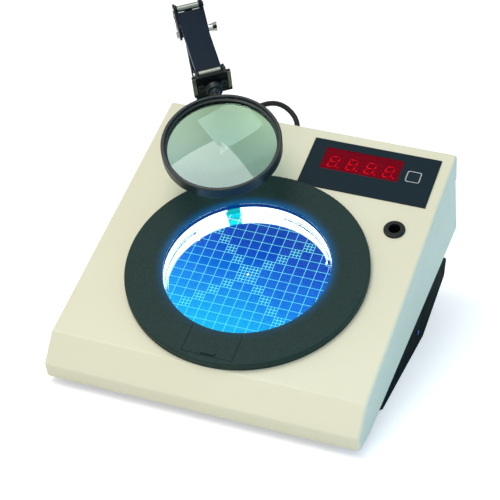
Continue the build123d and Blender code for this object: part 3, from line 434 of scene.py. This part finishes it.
# %% Plated steel
plated = Finish("plated_steel", (0.78, 0.78, 0.74), 0.22, Metallic=1.0)
plated.wear(per_metre=700, smooth=0.16, rough=0.34, detail=3.0)
plated.grain(plated.noise(1800, detail=2.0), depth=0.00002, strength=0.4)
dress(plated, "foot_pins", "wing_nut", "socket_screws")

worn_steel = Finish("worn_steel", (0.27, 0.29, 0.24), 0.34, Metallic=1.0)
worn_steel.wear(per_metre=250, smooth=0.3, rough=0.42)
dress(worn_steel, "elbow_roller", "head_roller", "head_rails")

ARM_TURN = radians(33.9)
POST = on_deck(-120.2, 212.4)
ACROSS = turned @ Vector((-cos(ARM_TURN), -sin(ARM_TURN), 0))
bolts = Finish("bolts_and_nuts", (0.78, 0.78, 0.74), 0.3, Metallic=1.0)
from_middle = bolts.place().dot(ACROSS)
bright_end = (from_middle - POST.dot(ACROSS)) > 0
bolts.feed("Base Color", bolts.tint(bright_end, (0.018, 0.018, 0.02), (0.78, 0.78, 0.74)))
bolts.grain(bolts.noise(1800, detail=2.0), depth=0.00002, strength=0.4)
dress(bolts, "elbow_pins", "head_pins")

blued = Finish("blued_screw", (0.02, 0.07, 0.35), 0.35, Metallic=0.4)
blued.grain(blued.noise(1500), depth=0.00003, strength=0.5)
dress(blued, "base_screws")

foot_rubber = Finish("foot_rubber", (0.02, 0.02, 0.02), 0.75)
foot_rubber.grain(foot_rubber.noise(1200, detail=3.0), depth=0.0001, strength=0.8)
dress(foot_rubber, "front_feet")

# %% [markdown]
# ## The lit well
# A ring lamp runs round the well behind a clear wall. Its light is so bright next to the room that the
# band reads as white. Its spill over the dark blue tray below, brighter towards the front, is painted light,
# and so are the white glow of the tray's rim and of the pan. A teal gap in the band shows where the lamp's
# two ends meet; its teal glow is painted. Clear parts are glass, and the lens's colour, blue towards the
# front and green towards the back, is a painted reflection.

# %% Lamp, pan and tray
GAP_TURN = radians(119)
GAP_HALF = radians(4.2)
GAP_SOFT = 1.12
LIT = (0.85, 0.97, 1.0)
GAP_TEAL = (0.0, 0.40, 0.45)
GAP_BASE = (0.0, 0.03, 0.03)


def gap_share(finish):
    """1 in the short gap where the ring lamp's ends meet, and 0 along the rest."""
    outward = finish.node("ShaderNodeVectorMath", {"operation": "NORMALIZE"}, {0: finish.flat_place()})
    towards_gap = outward.dot((cos(GAP_TURN), sin(GAP_TURN), 0))
    return finish.spread(towards_gap, cos(GAP_HALF * GAP_SOFT), cos(GAP_HALF), 0, 1)


def lit_but_for_gap(finish, brightness):
    """Lets a finish glow, but for the lamp's gap, which glows a dim painted teal. On the lamp the glow is
    its own light; on other parts it is painted light.
    """
    gap = gap_share(finish)
    dimmed = tuple(c / brightness for c in GAP_TEAL)
    finish.feed("Base Color", finish.tint(gap, LIT, GAP_BASE))
    finish.glow(finish.tint(gap, LIT, dimmed), brightness)


lamp_glow = Finish("lamp_glow", LIT, 0.4)
lit_but_for_gap(lamp_glow, 1.5)
dress(lamp_glow, "lamp_tube", "lamp_base")

# The white pan, its clips and the starter glow: painted lamp light, painted teal at the gap.
pan_white = Finish("pan_white", (0.85, 0.93, 0.95), 0.5)
lit_but_for_gap(pan_white, 0.8)
pan_white.grain(pan_white.noise(700), depth=0.00005, strength=0.5)
dress(pan_white, "light_pan", "lamp_clips", "lamp_starter")

TRAY_EDGE = 78.5
TRAY_SOFT = 1.0
TRAY_FRONT = -80
TRAY_BACK = 75
CLOUD_DEPTH = 0.03
# Painted light: the lamp's spill glows blue on the tray, brighter towards the front, and the rim glows
# white, teal at the gap.
tray_blue = Finish("tray_blue", (0.0, 0.02, 0.1), 0.7, Specular_IOR_Level=0.1)
forward = tray_blue.flat_place().dot((0.2, 0.98, 0))
cloud = tray_blue.noise(18, detail=1.0)
drifted = forward + (cloud - 0.5) * CLOUD_DEPTH
spill_light_stops = [(0.0, (0.0, 0.55, 0.84)), (0.25, (0.0, 0.38, 0.84)), (0.5, (0.0, 0.17, 0.72)),
               (0.75, (0.0, 0.05, 0.48)), (1.0, (0.0, 0.02, 0.3))]
painted_spill_light = tray_blue.node("ShaderNodeValToRGB", {"stops": spill_light_stops},
                        {"Fac": tray_blue.spread(drifted, TRAY_FRONT * MM, TRAY_BACK * MM, 0.0, 1.0)})
rim = tray_blue.spread(tray_blue.flat_place().length(), (TRAY_EDGE - TRAY_SOFT) * MM,
                       (TRAY_EDGE + TRAY_SOFT) * MM, 0, 1)
rim_colour = tray_blue.tint(gap_share(tray_blue), LIT, GAP_TEAL)
tray_blue.feed("Base Color", tray_blue.tint(rim, (0.0, 0.02, 0.08), rim_colour))
tray_blue.glow(tray_blue.tint(rim, painted_spill_light, rim_colour), 1.0)
dress(tray_blue, "background")

clear_glass = Finish("clear_glass", (0.98, 1.0, 1.0), 0.0, IOR=1.15, Transmission_Weight=1.0)
clear_glass.wear(per_metre=30, smooth=0.0, rough=0.03, noise_range=Finish.GLASS_RANGE)
dress(clear_glass, "grid_plate", "guard_wall", "plate_hoop", "touch_switches")

lens_glass = Finish("lens_glass", (0.9, 1.0, 0.95), 0.0, IOR=1.6, Transmission_Weight=1.0)
lens_y = [(deck.inverted() @ Vector(corner)).y for corner in nodes["lens_glass"].bound_box]
# Painted reflection: the glass's colour runs from blue at the front to green at the back.
upper = lens_glass.spread(lens_glass.deck_place().along("Y"), min(lens_y), max(lens_y), 0, 1)
lens_glass.feed("Base Color", lens_glass.tint(upper, (0.5, 0.74, 0.9), (0.56, 0.84, 0.64)))
lens_glass.wear(per_metre=30, smooth=0.0, rough=0.01, noise_range=Finish.GLASS_RANGE)
dress(lens_glass, "lens_glass")

# %% [markdown]
# ## The dark lip of the bore
# The ring's bore goes down a little way inside as a dark lip, and only below it does the clear wall let
# the lamp be seen. It stops short of the lid in front, which lifts out. Its blue glow is painted lamp light.
# It is a sheet without thickness: solidify only gives it a back, which closes the mesh.

# %% Bore lip
LIP_RADIUS = 77.7
LIP_TOP = 5.2
LIP_FOOT = 0.5
LIP_START = -70
LIP_SPAN = 320
LIP_STEPS = 120
lip = bmesh.new()
rows = []
for step in range(LIP_STEPS + 1):
    angle = radians(LIP_START + LIP_SPAN * step / LIP_STEPS)
    x, y = LIP_RADIUS * cos(angle), LIP_RADIUS * sin(angle)
    rows.append([lip.verts.new(on_deck(x, y, z)) for z in (LIP_FOOT, LIP_TOP)])
for first, second in zip(rows, rows[1:]):
    lip.faces.new((first[0], second[0], second[1], first[1]))
bmesh.ops.solidify(lip, geom=lip.faces[:], thickness=0)
lip_painted_glow = Finish("lip_painted_glow", (0.0, 0.02, 0.06), 0.5, Specular_IOR_Level=0.2)
# Painted blue lamp light on the lip.
lip_painted_glow.glow((0.0, 0.05, 0.28), 0.7)
lip_painted_glow.grain(lip_painted_glow.noise(1500), depth=0.00005, strength=0.5)
bore_lip = piece("bore_lip", lip, "case", lip_painted_glow)

# %% [markdown]
# ## The counting grid
# The plate carries a ruled grid of 10 mm squares. The squares along both diagonals are ruled again in
# thirds. The lines are thin strips that lie on the plate. Their glow, teal at the back and cyan at the
# front, is painted light, and towards the lamp's band at the back they are painted white as its glare.

# %% Grid lines
PLATE_TOP = -5.8
SQUARE = 10.0
SQUARES_OUT = 7
THIRDS = (SQUARE / 3, SQUARE * 2 / 3)
GRID_REACH = 76.5
LINE_WIDE = 0.5
THIN_LINE = 0.62
LINE_THICK = 0.06
GLARE_MIDDLE = (6.4, -13.4)
GLARE_REACH = 77.5
GLARE_SOFT = 1.5
BACK_END = 60
FRONT_END = -75
DOT_RADIUS = 1.1
DOT_THICK = 0.1
DOT_LEVEL = 0.08
ruled = bmesh.new()


def rule(along_x, place, low, high, wide):
    """Rules one line of the grid, from one place to another."""
    middle, reach = (low + high) / 2, high - low
    x, y = (middle, place) if along_x else (place, middle)
    size = (reach, wide) if along_x else (wide, reach)
    slab(ruled, x, y, PLATE_TOP + LINE_THICK / 2, *size, LINE_THICK)


for line_number in range(-SQUARES_OUT, SQUARES_OUT + 1):
    at = line_number * SQUARE
    half = (GRID_REACH**2 - at**2) ** 0.5
    rule(True, at, -half, half, LINE_WIDE)
    rule(False, at, -half, half, LINE_WIDE)
fine_cells = {(i, i) for i in range(1 - SQUARES_OUT, SQUARES_OUT - 1)}
fine_cells |= {(i, -1 - i) for i in range(1 - SQUARES_OUT, SQUARES_OUT - 1)}
for i, j in sorted(fine_cells):
    x0, y0 = i * SQUARE, j * SQUARE
    x1, y1 = x0 + SQUARE, y0 + SQUARE
    if max(abs(x0), abs(x1)) ** 2 + max(abs(y0), abs(y1)) ** 2 > GRID_REACH**2:
        continue
    for third in THIRDS:
        rule(True, y0 + third, x0, x1, THIN_LINE)
        rule(False, x0 + third, y0, y1, THIN_LINE)
ruling = Finish("ruling", (0.05, 0.3, 0.3), 0.5, Specular_IOR_Level=0.1)
# Painted light: the lines glow teal at the back and cyan at the front, and white in the glare.
nearer = ruling.spread(ruling.deck_place().along("Y"), FRONT_END * MM, BACK_END * MM, 1, 0)
painted_line_light = ruling.tint(nearer, (0.2, 0.66, 0.6), (0.05, 0.78, 0.95))
glare = ruling.spread(ruling.flat_place(*GLARE_MIDDLE).length(), GLARE_REACH * MM,
                      (GLARE_REACH + GLARE_SOFT) * MM, 0, 1)
ruling.glow(ruling.tint(glare, painted_line_light, (1.0, 1.0, 1.0)), 0.9)
grid_lines = piece("grid_lines", ruled, "stage", ruling)

dot = bmesh.new()
bmesh.ops.create_cone(dot, segments=24, radius1=DOT_RADIUS * MM, radius2=(DOT_RADIUS - DOT_THICK) * MM,
                      depth=DOT_THICK * MM, cap_ends=True, matrix=spot(0, 0, PLATE_TOP + DOT_LEVEL))
# The dot's glow is painted light.
bright_dot = Finish("bright_dot", (0.95, 1.0, 1.0), 0.4)
bright_dot.glow((0.9, 1.0, 1.0), 0.9)
centre_dot = piece("centre_dot", dot, "stage", bright_dot)

# %% [markdown]
# ## The display
# Four seven-segment digits glow behind a red window. Each segment is a bar that is widest near its left
# or lower end and runs to a point at the other. A dot stands at each digit's lower right.

# %% Digits
SEGMENT_TOP = -0.22
SEGMENT_THICK = 0.05
DIGITS = 4
DIGIT_FIRST = 35.8
DIGIT_PITCH = 18.4
DIGIT_WIDE = 8.0
DIGIT_HIGH = 13.6
DIGIT_LEVEL = 151.1
BAR = 1.15
JOINT = 0.3
SLANT = 0.15
TIP_SHARE = 3**0.5 / 2
POINT_ASIDE = 6.0
POINT_RADIUS = 0.8
POINT_SIDES = 16


def segment(shape, x, y, length, upright):
    """A bar on the digit's face, widest near its left or lower end and pointed at the other."""
    heel = (length - BAR) / 2
    tip = heel * TIP_SHARE + BAR / 2
    corners = []
    for px, py in ((-heel, BAR / 2), (-tip, 0), (-heel, -BAR / 2), (tip, 0)):
        if upright:
            px, py = py, px
        lean = SLANT * (y + py - DIGIT_LEVEL)
        corners.append(shape.verts.new(on_deck(x + px + lean, y + py, SEGMENT_TOP)))
    shape.faces.new(corners)


lit = bmesh.new()
for digit in range(DIGITS):
    dx = DIGIT_FIRST + DIGIT_PITCH * digit
    for level in (-1, 0, 1):
        segment(lit, dx, DIGIT_LEVEL + level * DIGIT_HIGH / 2, DIGIT_WIDE - JOINT, False)
    for side in (-1, 1):
        for level in (-1, 1):
            segment(lit, dx + side * DIGIT_WIDE / 2, DIGIT_LEVEL + level * DIGIT_HIGH / 4,
                    DIGIT_HIGH / 2 - JOINT, True)
    bmesh.ops.create_circle(lit, cap_ends=True, segments=POINT_SIDES, radius=POINT_RADIUS * MM,
                            matrix=spot(dx + POINT_ASIDE, DIGIT_LEVEL - DIGIT_HIGH / 2, SEGMENT_TOP))
bmesh.ops.solidify(lit, geom=lit.faces[:], thickness=SEGMENT_THICK * MM)
led_red = Finish("led_red", (0.9, 0.05, 0.02), 0.4)
led_red.glow((1.0, 0.03, 0.05), 2.7)
lit_segments = piece("lit_segments", lit, "case", led_red)

window_red = Finish("window_red", (0.5, 0.005, 0.03), 0.04, IOR=1.12, Transmission_Weight=0.72,
                    Specular_IOR_Level=0.2)
window_red.wear(per_metre=30, smooth=0.02, rough=0.05, noise_range=Finish.GLASS_RANGE)
dress(window_red, "display_window")
digit_dark = Finish("digit_dark", (0.04, 0.002, 0.006), 0.5, Specular_IOR_Level=0.1)
digit_dark.grain(digit_dark.noise(900), depth=0.00004, strength=0.5)
dress(digit_dark, "display_digits", "display_board")
board_green = Finish("board_green", (0.03, 0.16, 0.07), 0.45)
board_green.grain(board_green.noise(500), depth=0.00008, strength=0.6)
dress(board_green, "counter_board", "board_pillars", "reset_switch")
iron = Finish("ballast_iron", (0.22, 0.22, 0.24), 0.5, Metallic=0.7)
iron.grain(iron.noise(600), depth=0.0001, strength=0.7)
dress(iron, "ballast")

# %% [markdown]
# ## The reset key
# A dark film key with a white printed border. The print is a sheet without thickness, closed by a back.

# %% Key
key_film = Finish("key_film", (0.002, 0.016, 0.026), 0.36, Specular_IOR_Level=0.2)
key_film.grain(key_film.noise(2600), depth=0.00003, strength=0.5)
dress(key_film, "reset_key")
KEY_PLACE = (115.8, 149.7, 1.12)
KEY_SIZE = 14.2
KEY_LINE = 1.0
KEY_ROUND = 2.2
CORNER_STEPS = 6
border = bmesh.new()


def rounded(half, corner):
    """Points of a rounded square about the key's middle, in millimetres."""
    around = []
    for quarter in range(4):
        cx = (half - corner) * (1 if quarter in (0, 3) else -1)
        cy = (half - corner) * (1 if quarter < 2 else -1)
        for step in range(CORNER_STEPS + 1):
            angle = pi / 2 * (quarter + step / CORNER_STEPS)
            around.append((cx + corner * cos(angle), cy + corner * sin(angle)))
    return around


rings = []
for half, corner in ((KEY_SIZE / 2, KEY_ROUND), (KEY_SIZE / 2 - KEY_LINE, KEY_ROUND - KEY_LINE)):
    rings.append([border.verts.new(on_deck(KEY_PLACE[0] + x, KEY_PLACE[1] + y, KEY_PLACE[2]))
                  for x, y in rounded(half, corner)])
outer, inner = rings
for k in range(len(outer)):
    after = (k + 1) % len(outer)
    border.faces.new((outer[k], outer[after], inner[after], inner[k]))
bmesh.ops.solidify(border, geom=border.faces[:], thickness=0)
printed_white = Finish("printed_white", (0.82, 0.84, 0.82), 0.5)
printed_white.grain(printed_white.noise(2500), depth=0.00002, strength=0.4)
key_border = piece("key_border", border, "key", printed_white)

# %% [markdown]
# ## Floor, world and lamps
# A pale floor takes the shadow. The world is white to the camera and through glass, and dimmer as a
# light, so that colours render about as written. Its light turns bluish towards the right, and a cool
# lamp low on that side does the same to the case's right wall.

# %% Floor and studio
FLOOR_SIZE = 6.0
FLOOR_LIFT = 0.45
WORLD_LIGHT = 0.6
COOL_SIDE = (0.25, 0.58, 0.75)
floor_finish = Finish("pale_floor", (0.92, 0.92, 0.92), 0.9)
seen = floor_finish.node("ShaderNodeLightPath", out="Is Camera Ray")
floor_finish.glow((1, 1, 1), seen * FLOOR_LIFT)
sheet = bmesh.new()
bmesh.ops.create_grid(sheet, x_segments=1, y_segments=1, size=FLOOR_SIZE)
floor_mesh = bpy.data.meshes.new("floor")
sheet.to_mesh(floor_mesh)
sheet.free()
floor = bpy.data.objects.new("floor", floor_mesh)
floor_mesh.materials.append(floor_finish.material)
bpy.context.scene.collection.objects.link(floor)

world = bpy.data.worlds.new("studio")
bpy.context.scene.world = world
world.use_nodes = True
sky = Nodes(world.node_tree)
paths = sky.node("ShaderNodeLightPath", out="Is Camera Ray")
through = Value(sky, paths.socket.node.outputs["Is Transmission Ray"])
plain = sky.node("ShaderNodeMath", {"operation": "MAXIMUM"}, {0: paths, 1: through})
rightness = sky.spread(sky.node("ShaderNodeTexCoord", out="Generated").along("X"), 0, 1, 0, 1 - plain)
backdrop = sky.tree.nodes["Background"]
sky.link(backdrop.inputs["Color"], sky.tint(rightness, (1, 1, 1), COOL_SIDE))
sky.link(backdrop.inputs["Strength"], sky.spread(plain, 0, 1, WORLD_LIGHT, 1.0))


def lamp(name, place, aim, size, watts):
    """A square soft lamp that looks at a point."""
    made = bpy.data.objects.new(name, bpy.data.lights.new(name, "AREA"))
    made.data.size = size
    made.data.energy = watts
    made.location = place
    made.rotation_mode = "QUATERNION"
    made.rotation_quaternion = (Vector(aim) - Vector(place)).to_track_quat("-Z", "Y")
    bpy.context.scene.collection.objects.link(made)
    print(name, watts, "W")
    return made


lamp("key_lamp", place=(-0.5, -0.5, 2.0), aim=(0, 0.1, 0.1), size=1.2, watts=18)
lamp("fill_lamp", place=(0.3, -1.7, 1.1), aim=(0, 0.05, 0.1), size=1.2, watts=5)
cool = lamp("cool_lamp", place=(1.6, 0.2, 0.25), aim=(0.14, 0.1, 0.08), size=0.8, watts=9)
cool.data.color = (0.0, 0.45, 1.0)
bpy.context.scene.view_settings.view_transform = "Standard"
